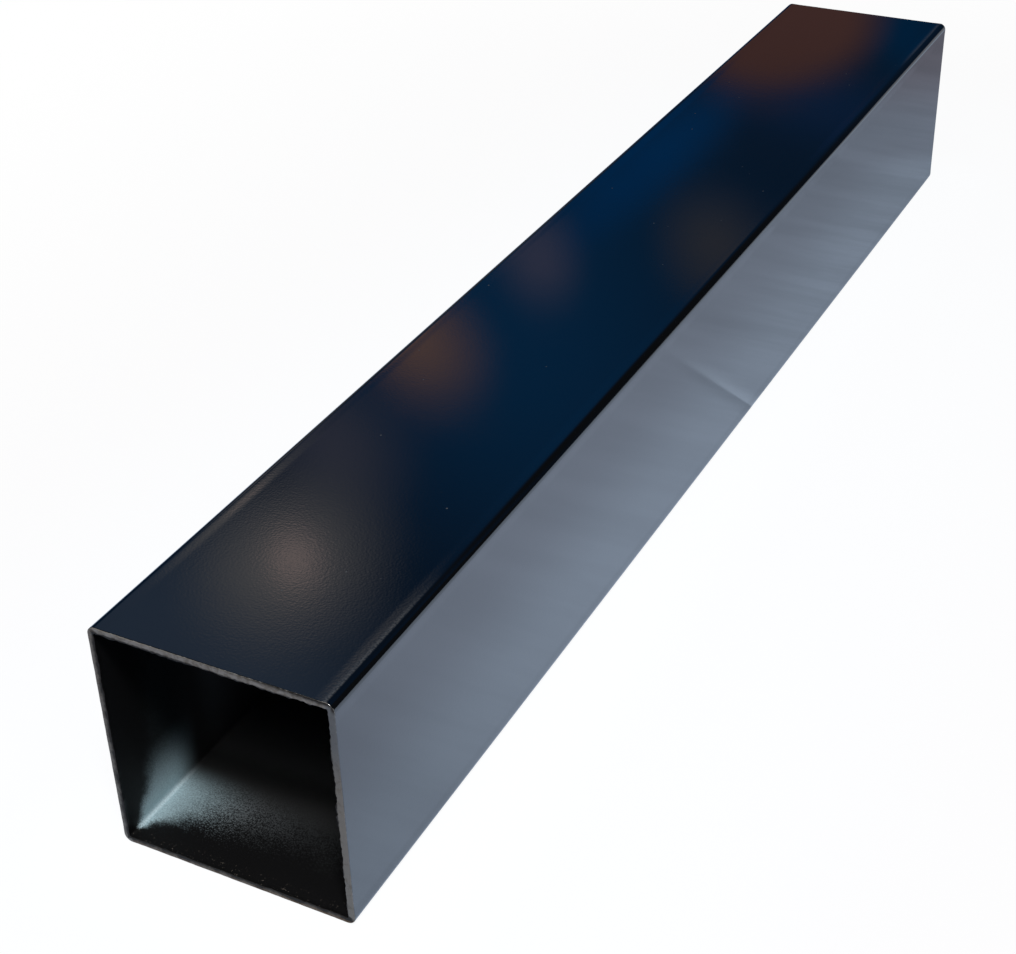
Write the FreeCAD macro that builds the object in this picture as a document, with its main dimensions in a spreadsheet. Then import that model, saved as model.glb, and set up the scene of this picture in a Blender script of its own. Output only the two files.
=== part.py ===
"""Metal fence post: one length of seam-welded square steel tube with open, square-cut ends.

The post lies on one of its flat sides, as a loose length does. Millimetres, +Z up, the length along Y, and
the origin at the middle of the underside. The end at -Y is the one that the photograph looks into.
"""
import FreeCAD, Part
import math
import os

import Sketcher

PART_FOLDER = "parts"
POST_NAME = "post_tube"

# Driving dimensions in millimetres: name, value and what it measures.
DIMENSIONS = (
    ("side_length", 100.0, "outside width of each flat side"),
    ("wall_thickness", 2.3, "wall, the same all round"),
    ("bend_radius", 1.2, "inside radius of the four long bends"),
    ("post_length", 700.0, "from one square-cut end to the other"),
    ("cut_edge_radius", 0.4, "rounding of each cut's outer edge, where the saw burr is dressed off"),
    ("bead_width", 3.0, "weld bead along the seam, across the wall"),
    ("bead_height", 0.5, "weld bead, above the inner face of its wall"),
)

# Formulas of the sheet that shape the section. The outer bend keeps the wall even round each corner.
OUTER_SIDE = "sizes.side_length"
OUTER_RADIUS = "sizes.bend_radius + sizes.wall_thickness"
INNER_SIDE = "sizes.side_length - 2 * sizes.wall_thickness"
INNER_RADIUS = "sizes.bend_radius"
SECTION_HEIGHT = "sizes.side_length / 2"
SEAM_FACE = "sizes.side_length / 2 - sizes.wall_thickness"
BEAD_ROOT = "sizes.wall_thickness / 2"

# How a sketch numbers the points of a curve, its own origin and its level axis.
START, END, CENTRE = 1, 2, 3
ORIGIN_POINT = (-1, 1)
LEVEL_AXIS = -1

QUARTER_TURN = math.pi / 2
SAME_PLACE = 0.001


def make_size_sheet(doc):
    """Put the driving dimensions in a spreadsheet, one named cell each."""
    sheet = doc.addObject("Spreadsheet::Sheet", "sizes")
    for row, (name, value, meaning) in enumerate(DIMENSIONS, start=1):
        sheet.set(f"A{row}", name)
        sheet.set(f"B{row}", str(value))
        sheet.set(f"C{row}", meaning)
        sheet.setAlias(f"B{row}", name)
    doc.recompute()
    return sheet


def add_section_sketch(body, name):
    """Add an empty sketch across the post, with its origin at the middle of the section.

    Sketch x is X and sketch y is Z.
    """
    plane = next(item for item in body.Origin.OriginFeatures if item.Role == "XZ_Plane")
    sketch = body.newObject("Sketcher::SketchObject", name)
    sketch.AttachmentSupport = [(plane, "")]
    sketch.MapMode = "FlatFace"
    sketch.setExpression("AttachmentOffset.Base.y", SECTION_HEIGHT)
    return sketch


def draw_line(sketch, start, end):
    """Draw a straight line between two points and return its number in the sketch."""
    return sketch.addGeometry(Part.LineSegment(FreeCAD.Vector(*start), FreeCAD.Vector(*end)), False)


def hold(sketch, rule, *places):
    """Hold places of the sketch to a rule, such as Tangent, and return the rule's number."""
    return sketch.addConstraint(Sketcher.Constraint(rule, *places))


def hold_size(sketch, name, formula, rule, *places):
    """Hold places of the sketch to a named dimension that follows a formula of the sheet."""
    number = hold(sketch, rule, *places)
    sketch.renameConstraint(number, name)
    sketch.setExpression(f"Constraints.{name}", formula)


def draw_rounded_square(sketch, name, side, radius, side_formula, radius_formula):
    """Draw a square with four equal round corners about the sketch's origin and hold it by its dimensions.

    Going round anticlockwise from the lower side, each side runs tangent into the corner after it.
    """
    half = side / 2
    flat = half - radius
    sides = (
        draw_line(sketch, (-flat, -half), (flat, -half)),
        draw_line(sketch, (half, -flat), (half, flat)),
        draw_line(sketch, (flat, half), (-flat, half)),
        draw_line(sketch, (-half, flat), (-half, -flat)),
    )
    corners = []
    for number, (x, y) in enumerate(((flat, -flat), (flat, flat), (-flat, flat), (-flat, -flat))):
        circle = Part.Circle(FreeCAD.Vector(x, y), FreeCAD.Vector(0, 0, 1), radius)
        first_angle = (number - 1) * QUARTER_TURN
        quarter = Part.ArcOfCircle(circle, first_angle, first_angle + QUARTER_TURN)
        corners.append(sketch.addGeometry(quarter, False))

    for number, corner in enumerate(corners):
        next_side = sides[(number + 1) % len(sides)]
        hold(sketch, "Tangent", sides[number], END, corner, START)
        hold(sketch, "Tangent", corner, END, next_side, START)
    for corner in corners[1:]:
        hold(sketch, "Equal", corners[0], corner)
    lower, right, upper, left = sides
    hold(sketch, "Horizontal", lower)
    hold(sketch, "Horizontal", upper)
    hold(sketch, "Vertical", right)
    hold(sketch, "Vertical", left)
    hold(sketch, "Equal", lower, right)
    hold(sketch, "Symmetric", corners[0], CENTRE, corners[2], CENTRE, *ORIGIN_POINT)
    hold_size(sketch, f"{name}_radius", radius_formula, "Radius", corners[0], radius)
    hold_size(sketch, f"{name}_width", side_formula, "DistanceX", left, START, right, START, side)


def draw_bead(sketch, face, width, height, root):
    """Draw the weld bead's section on the inner face of the +X wall, at mid height.

    A low arc stands out of the wall into the bore. Its flat root reaches half way into the wall, so that
    bead and wall are one piece of metal.
    """
    half = width / 2
    low = (face, -half)
    high = (face, half)
    deep_low = (face + root, -half)
    deep_high = (face + root, half)
    peak_place = FreeCAD.Vector(face - height, 0)
    crown = sketch.addGeometry(Part.Arc(FreeCAD.Vector(*high), peak_place, FreeCAD.Vector(*low)), False)
    under = draw_line(sketch, low, deep_low)
    back = draw_line(sketch, deep_low, deep_high)
    over = draw_line(sketch, deep_high, high)
    peak = sketch.addGeometry(Part.Point(peak_place), True)

    outline = (crown, under, back, over)
    for number, curve in enumerate(outline):
        hold(sketch, "Coincident", curve, END, outline[(number + 1) % len(outline)], START)
    hold(sketch, "Horizontal", under)
    hold(sketch, "Horizontal", over)
    hold(sketch, "Vertical", back)
    hold(sketch, "Vertical", crown, START, crown, END)
    hold(sketch, "PointOnObject", crown, CENTRE, LEVEL_AXIS)
    hold(sketch, "PointOnObject", peak, START, LEVEL_AXIS)
    hold(sketch, "PointOnObject", peak, START, crown)
    hold_size(sketch, "bead_width", "sizes.bead_width", "DistanceY", crown, END, crown, START, width)
    hold_size(sketch, "bead_height", "sizes.bead_height", "DistanceX", peak, START, crown, END, height)
    hold_size(sketch, "seam_face", SEAM_FACE, "DistanceX", *ORIGIN_POINT, crown, END, face)
    hold_size(sketch, "bead_root", BEAD_ROOT, "DistanceX", under, START, under, END, root)


def pad_along_post(body, sketch, name):
    """Carry a section along the whole length of the post, half to each side of the sketch."""
    pad = body.newObject("PartDesign::Pad", name)
    pad.Profile = sketch
    pad.SideType = "Symmetric"
    pad.setExpression("Length", "sizes.post_length")
    return pad


def find_cut_edges(shape, post_length):
    """Name the edges round the outside of the two cut ends."""
    names = []
    for face in shape.Faces:
        end_offset = abs(face.CenterOfMass.y) - post_length / 2
        if abs(end_offset) < SAME_PLACE:
            for rim_edge in face.OuterWire.Edges:
                number = next(i for i, edge in enumerate(shape.Edges, start=1) if edge.isSame(rim_edge))
                names.append(f"Edge{number}")
    return names


def make_post(doc, sheet):
    """Build the post as one body: the tube, the weld bead inside its seam and the dressed cuts."""
    post = doc.addObject("PartDesign::Body", "Post")
    post.Label = POST_NAME
    outer_side = sheet.side_length
    inner_side = outer_side - 2 * sheet.wall_thickness
    outer_radius = sheet.bend_radius + sheet.wall_thickness

    section = add_section_sketch(post, "TubeSection")
    draw_rounded_square(section, "outer", outer_side, outer_radius, OUTER_SIDE, OUTER_RADIUS)
    draw_rounded_square(section, "inner", inner_side, sheet.bend_radius, INNER_SIDE, INNER_RADIUS)
    pad_along_post(post, section, "Tube")

    seam = add_section_sketch(post, "BeadSection")
    draw_bead(seam, inner_side / 2, sheet.bead_width, sheet.bead_height, sheet.wall_thickness / 2)
    welded_tube = pad_along_post(post, seam, "WeldBead")
    doc.recompute()

    dressing = post.newObject("PartDesign::Fillet", "DressedCuts")
    dressing.Base = (welded_tube, find_cut_edges(welded_tube.Shape, sheet.post_length))
    dressing.setExpression("Radius", "sizes.cut_edge_radius")
    return post


def check_document(doc, sub_parts):
    """Stop with a plain message if a feature failed or a sub-part's shape is missing or broken."""
    for item in doc.Objects:
        if "Invalid" in item.State or "Error" in item.State:
            raise RuntimeError(f"{item.Label} failed to build: {item.State}")
    for sub_part in sub_parts:
        if sub_part.Shape.isNull() or not sub_part.Shape.isValid():
            raise RuntimeError(f"{sub_part.Label} has no valid shape")


def main():
    """Build the document, check it and write each sub-part's solid to its own file."""
    doc = FreeCAD.newDocument("fence_post")
    sheet = make_size_sheet(doc)
    sub_parts = [make_post(doc, sheet)]
    doc.recompute()
    check_document(doc, sub_parts)
    os.makedirs(PART_FOLDER, exist_ok=True)
    for sub_part in sub_parts:
        sub_part.Shape.exportStep(os.path.join(PART_FOLDER, f"{sub_part.Label}.step"))
        print(f"{sub_part.Label}: {sub_part.Shape.Volume:.1f} mm3")


main()
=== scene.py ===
"""Looks of the metal fence post: a black-coated square steel tube that lies on a pale studio floor.

Metres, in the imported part's own frame: the post lies along Y with +Z up, and its near mouth, at -Y,
faces the camera.
"""
import logging
import math
from dataclasses import dataclass
from enum import Enum, IntEnum
from functools import reduce
from typing import Any, ClassVar, Sequence, Union

import bpy
import numpy as np
from mathutils import Matrix, Vector


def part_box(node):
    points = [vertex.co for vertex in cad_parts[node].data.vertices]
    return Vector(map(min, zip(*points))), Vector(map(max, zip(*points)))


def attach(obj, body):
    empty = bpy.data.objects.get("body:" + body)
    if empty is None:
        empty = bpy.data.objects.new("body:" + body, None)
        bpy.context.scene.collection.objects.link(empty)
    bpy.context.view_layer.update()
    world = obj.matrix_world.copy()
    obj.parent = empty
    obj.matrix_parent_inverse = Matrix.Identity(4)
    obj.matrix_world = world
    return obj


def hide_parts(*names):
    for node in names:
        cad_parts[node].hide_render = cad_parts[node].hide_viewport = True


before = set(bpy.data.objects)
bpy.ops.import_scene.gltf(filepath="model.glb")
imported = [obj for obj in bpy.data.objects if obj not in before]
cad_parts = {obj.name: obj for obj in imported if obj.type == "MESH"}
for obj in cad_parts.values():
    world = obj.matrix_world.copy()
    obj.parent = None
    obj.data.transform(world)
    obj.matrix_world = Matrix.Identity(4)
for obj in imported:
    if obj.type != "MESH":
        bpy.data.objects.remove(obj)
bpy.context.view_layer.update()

LOG = logging.getLogger("fence_post")

MM = 0.001
MICRON = 0.000001
POST_NODE = "post_tube"
POST_BODY = "root"

Point = tuple[float, float, float]
Colour = tuple[float, float, float]
# A span is where a change starts and where it ends, or its first and last value
Span = tuple[float, float]
Socket = bpy.types.NodeSocket
Feed = Union[Socket, float, Sequence[float]]

BLACK: Colour = (0.0, 0.0, 0.0)
WHITE: Colour = (1.0, 1.0, 1.0)


class Finish(IntEnum):
    """Finishes of the tube, in the order of its material slots."""

    COAT = 0
    CUT = 1
    BORE = 2


class Side(IntEnum):
    """Flat sides of the tube, going anticlockwise as seen at the near mouth."""

    RIGHT = 0
    TOP = 1
    LEFT = 2
    BOTTOM = 3


class Unseen(Enum):
    """Kinds of ray that a studio object can stay out of."""

    CAMERA = "visible_camera"
    SHADOW = "visible_shadow"
    DIFFUSE = "visible_diffuse"


@dataclass(frozen=True)
class Clouds:
    """Cloudy noise: metres across one cloud, how many finer layers it has and how strong those are."""

    size: float
    detail: float = 2.0
    rough: float = 0.5


class NodeSheet:
    """A node tree with short calls for the kinds of node that the finishes are made of."""

    def __init__(self, tree: bpy.types.NodeTree) -> None:
        """Start from an emptied tree."""
        self.tree = tree
        tree.nodes.clear()

    def add(self, kind: str, **settings: Any) -> bpy.types.Node:
        """Add a node.

        Args:
            kind: the node's full type name.
            settings: properties to set on the node.

        Returns:
            The new node.
        """
        node = self.tree.nodes.new(kind)
        for name, value in settings.items():
            setattr(node, name, value)
        return node

    def feed(self, socket: Socket, value: Feed) -> None:
        """Link an input to an output, or set its plain value.

        Args:
            socket: the input.
            value: the output to link it to, or the plain value.
        """
        if isinstance(value, bpy.types.NodeSocket):
            self.tree.links.new(value, socket)
        else:
            socket.default_value = value

    def place(self) -> Socket:
        """Place on the piece, in metres."""
        return self.add("ShaderNodeTexCoord").outputs["Object"]

    def axes(self, place: Feed) -> tuple[Socket, Socket, Socket]:
        """Split a place into its x, y and z.

        Args:
            place: where on the piece, in metres.

        Returns:
            The three numbers.
        """
        node = self.add("ShaderNodeSeparateXYZ")
        self.feed(node.inputs[0], place)
        return node.outputs["X"], node.outputs["Y"], node.outputs["Z"]

    def math(self, operation: str, first: Feed, second: Feed = 0.0) -> Socket:
        """Work out one number from one or two.

        Args:
            operation: the sum to do, such as MULTIPLY.
            first: left number.
            second: right number, unused by sums of one number.

        Returns:
            The result.
        """
        node = self.add("ShaderNodeMath", operation=operation)
        self.feed(node.inputs[0], first)
        self.feed(node.inputs[1], second)
        return node.outputs[0]

    def fold(self, operation: str, values: Sequence[Feed]) -> Socket:
        """Join two or more numbers by one operation, from the first on."""
        return reduce(lambda left, right: self.math(operation, left, right), values)

    def plus(self, *values: Feed) -> Socket:
        """Sum of two or more numbers."""
        return self.fold("ADD", values)

    def minus(self, first: Feed, second: Feed) -> Socket:
        """First number less the second."""
        return self.math("SUBTRACT", first, second)

    def times(self, *values: Feed) -> Socket:
        """Product of two or more numbers."""
        return self.fold("MULTIPLY", values)

    def most(self, *values: Feed) -> Socket:
        """Largest of two or more numbers."""
        return self.fold("MAXIMUM", values)

    def length(self, first: Feed, second: Feed) -> Socket:
        """Work out the length of a line from two sides of a right angle.

        Args:
            first: how far it goes one way.
            second: how far it goes square to that.

        Returns:
            The length.
        """
        both = self.add("ShaderNodeCombineXYZ")
        self.feed(both.inputs["X"], first)
        self.feed(both.inputs["Y"], second)
        node = self.add("ShaderNodeVectorMath", operation="LENGTH")
        self.feed(node.inputs[0], both.outputs[0])
        return node.outputs["Value"]

    def step(self, value: Feed, start: Feed, end: Feed, low: Feed = 0.0, high: Feed = 1.0) -> Socket:
        """Pass smoothly from low to high as a value goes from start to end.

        Args:
            value: the number to follow.
            start: where the change begins.
            end: where it is complete.
            low: result before start.
            high: result after end.

        Returns:
            The smoothed number.
        """
        node = self.add("ShaderNodeMapRange", interpolation_type="SMOOTHSTEP")
        given = {"Value": value, "From Min": start, "From Max": end, "To Min": low, "To Max": high}
        for name, number in given.items():
            self.feed(node.inputs[name], number)
        return node.outputs["Result"]

    def between(self, share: Feed, low: Feed, high: Feed) -> Socket:
        """Pass smoothly from low to high as a share goes from 0 to 1."""
        return self.step(share, 0.0, 1.0, low, high)

    def noise(self, place: Feed, clouds: Clouds) -> Socket:
        """Cloudy noise, mostly between 0.3 and 0.7.

        Args:
            place: where on the piece, in metres.
            clouds: the kind of noise.

        Returns:
            The noise's value.
        """
        node = self.add("ShaderNodeTexNoise")
        self.feed(node.inputs["Vector"], place)
        self.feed(node.inputs["Scale"], 1.0 / clouds.size)
        self.feed(node.inputs["Detail"], clouds.detail)
        self.feed(node.inputs["Roughness"], clouds.rough)
        return node.outputs["Fac"]

    def swing(self, place: Feed, clouds: Clouds) -> Socket:
        """Cloudy noise about nought, mostly between -0.2 and 0.2."""
        return self.minus(self.noise(place, clouds), 0.5)

    def stretch(self, place: Feed, factors: Point) -> Socket:
        """Stretch a place along its axes, so that a pattern on it shrinks by the same factors.

        Args:
            place: where on the piece, in metres.
            factors: stretch along each axis.

        Returns:
            The stretched place.
        """
        node = self.add("ShaderNodeVectorMath", operation="MULTIPLY")
        self.feed(node.inputs[0], place)
        self.feed(node.inputs[1], factors)
        return node.outputs[0]

    def mix(self, share: Feed, first: Feed, second: Feed) -> Socket:
        """Mix two colours.

        Args:
            share: how much of the second shows.
            first: colour where the share is 0.
            second: colour where it is 1.

        Returns:
            The mixed colour.
        """
        node = self.add("ShaderNodeMix", data_type="RGBA")
        share_input = next(item for item in node.inputs if item.identifier == "Factor_Float")
        self.feed(share_input, share)
        for identifier, colour in (("A_Color", first), ("B_Color", second)):
            colour_input = next(item for item in node.inputs if item.identifier == identifier)
            self.feed(colour_input, colour if isinstance(colour, bpy.types.NodeSocket) else (*colour, 1.0))
        return next(item for item in node.outputs if item.identifier == "Result_Color")

    def bump(self, height: Socket, relief: float) -> Socket:
        """Turn a height between 0 and 1 into a normal.

        Args:
            height: the height, where 1 stands for the whole relief.
            relief: metres from the lowest to the highest point.

        Returns:
            The bumped normal.
        """
        node = self.add("ShaderNodeBump")
        self.feed(node.inputs["Strength"], 1.0)
        self.feed(node.inputs["Distance"], relief)
        self.feed(node.inputs["Height"], height)
        return node.outputs["Normal"]

    def group(self, tree: bpy.types.NodeTree, **inputs: Feed) -> bpy.types.Node:
        """Put a shared node group into the tree.

        Args:
            tree: the group.
            inputs: values for its inputs, by name.

        Returns:
            The group's node.
        """
        node = self.add("ShaderNodeGroup", node_tree=tree)
        for name, value in inputs.items():
            self.feed(node.inputs[name], value)
        return node

    def surface(self, shader: Socket, output: str = "ShaderNodeOutputMaterial") -> None:
        """Send a shader to the tree's output."""
        self.feed(self.add(output).inputs["Surface"], shader)


def new_group(name: str, inputs: Sequence[str], outputs: Sequence[str]) -> NodeSheet:
    """Make an empty shader node group of plain numbers.

    Args:
        name: the group's name.
        inputs: name of each input.
        outputs: name of each output.

    Returns:
        The sheet to draw the group's nodes on.
    """
    tree = bpy.data.node_groups.new(name, "ShaderNodeTree")
    for label in inputs:
        tree.interface.new_socket(label, in_out="INPUT", socket_type="NodeSocketFloat")
    for label in outputs:
        tree.interface.new_socket(label, in_out="OUTPUT", socket_type="NodeSocketFloat")
    return NodeSheet(tree)


@dataclass(frozen=True)
class SharedEffects:
    """Effects that more than one finish uses, each a node group that is built once."""

    whereabouts: bpy.types.NodeTree
    orange_peel: bpy.types.NodeTree
    specks: bpy.types.NodeTree

    peel_detail: ClassVar[float] = 1.0
    swell_scale: ClassVar[float] = 0.3
    swell_share: ClassVar[float] = 0.25
    speck_core: ClassVar[float] = 0.5

    @classmethod
    def build(cls, side: float, wall: float, length: float) -> "SharedEffects":
        """Build the groups for one tube.

        Args:
            side: outside width of a flat side.
            wall: wall thickness.
            length: length of the post.

        Returns:
            The finished groups.
        """
        return cls(cls.make_whereabouts(side, wall, length), cls.make_orange_peel(), cls.make_specks())

    @staticmethod
    def make_whereabouts(side: float, wall: float, length: float) -> bpy.types.NodeTree:
        """Make the group that tells where on the tube a point is.

        Depth is half the length less the distance from the middle of the post, so nought at a mouth. Gap is
        half the bore less the smaller of the distances from the axis, across and up, so nought at a corner
        of the bore. Height is the larger of those two less half the bore, so nought on a wall of the bore.

        Args:
            side: outside width of a flat side.
            wall: wall thickness.
            length: length of the post.

        Returns:
            The group.
        """
        sheet = new_group("post_whereabouts", (), ("Depth", "Gap", "Height"))
        half_bore = side / 2 - wall
        x, y, z = sheet.axes(sheet.place())
        across = sheet.math("ABSOLUTE", x)
        up = sheet.math("ABSOLUTE", sheet.minus(z, side / 2))
        out = sheet.add("NodeGroupOutput").inputs
        sheet.feed(out["Depth"], sheet.minus(length / 2, sheet.math("ABSOLUTE", y)))
        sheet.feed(out["Gap"], sheet.minus(half_bore, sheet.math("MINIMUM", across, up)))
        sheet.feed(out["Height"], sheet.minus(sheet.most(across, up), half_bore))
        return sheet.tree

    @classmethod
    def make_orange_peel(cls) -> bpy.types.NodeTree:
        """Make the group for the pebbled relief of a sprayed coat.

        Small round bumps ride on broader swells, which have the smaller share of the height. Size is metres
        across one bump.

        Returns:
            The group.
        """
        sheet = new_group("orange_peel", ("Size",), ("Height",))
        size = sheet.add("NodeGroupInput").outputs["Size"]
        layers = []
        for scale, share in ((1.0, 1.0 - cls.swell_share), (cls.swell_scale, cls.swell_share)):
            layer = sheet.add("ShaderNodeTexNoise")
            sheet.feed(layer.inputs["Vector"], sheet.place())
            sheet.feed(layer.inputs["Scale"], sheet.math("DIVIDE", scale, size))
            sheet.feed(layer.inputs["Detail"], cls.peel_detail)
            layers.append(sheet.times(layer.outputs["Fac"], share))
        sheet.feed(sheet.add("NodeGroupOutput").inputs["Height"], sheet.plus(*layers))
        return sheet.tree

    @classmethod
    def make_specks(cls) -> bpy.types.NodeTree:
        """Make the group for scattered round specks.

        Space is cut into cells of about Spacing metres, a Share of the cells is picked at random, and each
        picked cell shows a soft-edged speck of up to Radius cells about its middle.

        Returns:
            The group.
        """
        sheet = new_group("specks", ("Spacing", "Share", "Radius"), ("Mask",))
        inputs = sheet.add("NodeGroupInput").outputs
        cells = sheet.add("ShaderNodeTexVoronoi")
        sheet.feed(cells.inputs["Vector"], sheet.place())
        sheet.feed(cells.inputs["Scale"], sheet.math("DIVIDE", 1.0, inputs["Spacing"]))
        lot = sheet.add("ShaderNodeSeparateColor")
        sheet.feed(lot.inputs[0], cells.outputs["Color"])
        picked = sheet.math("LESS_THAN", lot.outputs["Red"], inputs["Share"])
        core = sheet.times(inputs["Radius"], cls.speck_core)
        spot = sheet.step(cells.outputs["Distance"], inputs["Radius"], core)
        sheet.feed(sheet.add("NodeGroupOutput").inputs["Mask"], sheet.times(picked, spot))
        return sheet.tree


@dataclass(frozen=True)
class Specks:
    """Scattered specks: metres from cell to cell, share of the cells with one, and its radius in cells."""

    spacing: float
    share: float
    radius: float

    def mask(self, sheet: NodeSheet, effects: SharedEffects) -> Socket:
        """Where the specks are, drawn on a finish's sheet."""
        node = sheet.group(effects.specks, Spacing=self.spacing, Share=self.share, Radius=self.radius)
        return node.outputs["Mask"]


def blank_material(name: str) -> tuple[bpy.types.Material, NodeSheet]:
    """Make a material that has no nodes yet.

    Args:
        name: the material's name.

    Returns:
        The material and its sheet.
    """
    material = bpy.data.materials.new(name)
    material.use_nodes = True
    return material, NodeSheet(material.node_tree)


def finish_material(name: str) -> tuple[bpy.types.Material, NodeSheet, bpy.types.Node]:
    """Make a material that holds only a Principled BSDF and its output.

    Args:
        name: the material's name.

    Returns:
        The material, its sheet and its shader.
    """
    material, sheet = blank_material(name)
    shader = sheet.add("ShaderNodeBsdfPrincipled")
    sheet.surface(shader.outputs["BSDF"])
    return material, sheet, shader


@dataclass(frozen=True)
class BlackCoat:
    """Baked black coat of the four sides: fairly glossy, pebbled, a little dusty and worn at the edges."""

    name: str = "black_coat_outside"
    colour: Colour = (0.0008, 0.0010, 0.0013)
    bare_colour: Colour = (0.20, 0.20, 0.195)
    dust_colour: Colour = (0.022, 0.024, 0.025)
    # Colour of the painted sheen, a lighter streak standing in for a reflection
    sheen_colour: Colour = (0.034, 0.034, 0.033)
    index: float = 1.85
    gloss_roughness: float = 0.06
    smudge_roughness: float = 0.09
    dry_roughness: float = 0.5
    smudges: Clouds = Clouds(55 * MM, 4.0, 0.6)
    smudge_range: Span = (0.35, 0.72)
    peel_size: float = 0.95 * MM
    peel_relief: float = 18 * MICRON
    wear: Clouds = Clouds(1.2 * MM, 3.0)
    wear_swing: float = 0.5 * MM
    wear_reach: Span = (0.35 * MM, 0.1 * MM)
    bend_gap: Span = (1.0 * MM, -0.6 * MM)
    nicks: Specks = Specks(5 * MM, 0.07, 0.12)
    dust: Specks = Specks(7 * MM, 0.16, 0.075)
    upper_gap: Span = (2 * MM, 1 * MM)
    # Painted sheen along the upper right bend near the mouths, standing in for a reflection
    sheen_grain: Clouds = Clouds(0.8 * MM)
    sheen_range: Span = (0.35, 0.6)
    sheen_least: float = 0.3
    sheen_rise: Span = (7 * MM, 3.6 * MM)
    sheen_power: float = 3.0
    sheen_stop: Span = (2.8 * MM, 3.6 * MM)
    sheen_depth: Span = (85 * MM, 42.5 * MM)

    def material(self, effects: SharedEffects, side: float) -> bpy.types.Material:
        """Make the material.

        Steel shows along the rim of each mouth and at nicks in the bends. Dust lies on the upper side
        alone. A painted sheen, a lighter streak that stands in for a reflection, runs along the upper right
        bend near the mouths: it rises over a few millimetres of the upper side, is strongest where the bend
        begins and stops there.

        Args:
            effects: the shared node groups.
            side: outside width of a flat side.

        Returns:
            The material.
        """
        material, sheet, shader = finish_material(self.name)
        place = sheet.place()
        x, _, z = sheet.axes(place)
        where = sheet.group(effects.whereabouts).outputs
        uneven = sheet.times(sheet.swing(place, self.wear), self.wear_swing)
        rim_wear = sheet.step(sheet.plus(where["Depth"], uneven), *self.wear_reach)
        bend_wear = sheet.times(sheet.step(where["Gap"], *self.bend_gap), self.nicks.mask(sheet, effects))
        worn = sheet.most(rim_wear, bend_wear)
        upper = sheet.step(sheet.minus(side, z), *self.upper_gap)
        dust = sheet.times(upper, self.dust.mask(sheet, effects))

        # Painted sheen: a lighter streak standing in for a reflection along the upper right bend near the
        # mouths
        inset = sheet.minus(side / 2, x)
        rise = sheet.math("POWER", sheet.step(inset, *self.sheen_rise), self.sheen_power)
        stop = sheet.step(inset, *self.sheen_stop)
        grain = sheet.step(sheet.noise(place, self.sheen_grain), *self.sheen_range, self.sheen_least)
        sheen = sheet.times(rise, stop, grain, sheet.step(where["Depth"], *self.sheen_depth), upper)

        sheened = sheet.mix(sheen, self.colour, self.sheen_colour)
        dusty = sheet.mix(dust, sheened, self.dust_colour)
        sheet.feed(shader.inputs["Base Color"], sheet.mix(worn, dusty, self.bare_colour))
        smudge = sheet.noise(place, self.smudges)
        gloss = sheet.step(smudge, *self.smudge_range, self.gloss_roughness, self.smudge_roughness)
        dry = sheet.most(dust, worn)
        sheet.feed(shader.inputs["Roughness"], sheet.between(dry, gloss, self.dry_roughness))
        shader.inputs["IOR"].default_value = self.index
        peel = sheet.group(effects.orange_peel, Size=self.peel_size)
        sheet.feed(shader.inputs["Normal"], sheet.bump(peel.outputs["Height"], self.peel_relief))
        return material


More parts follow.
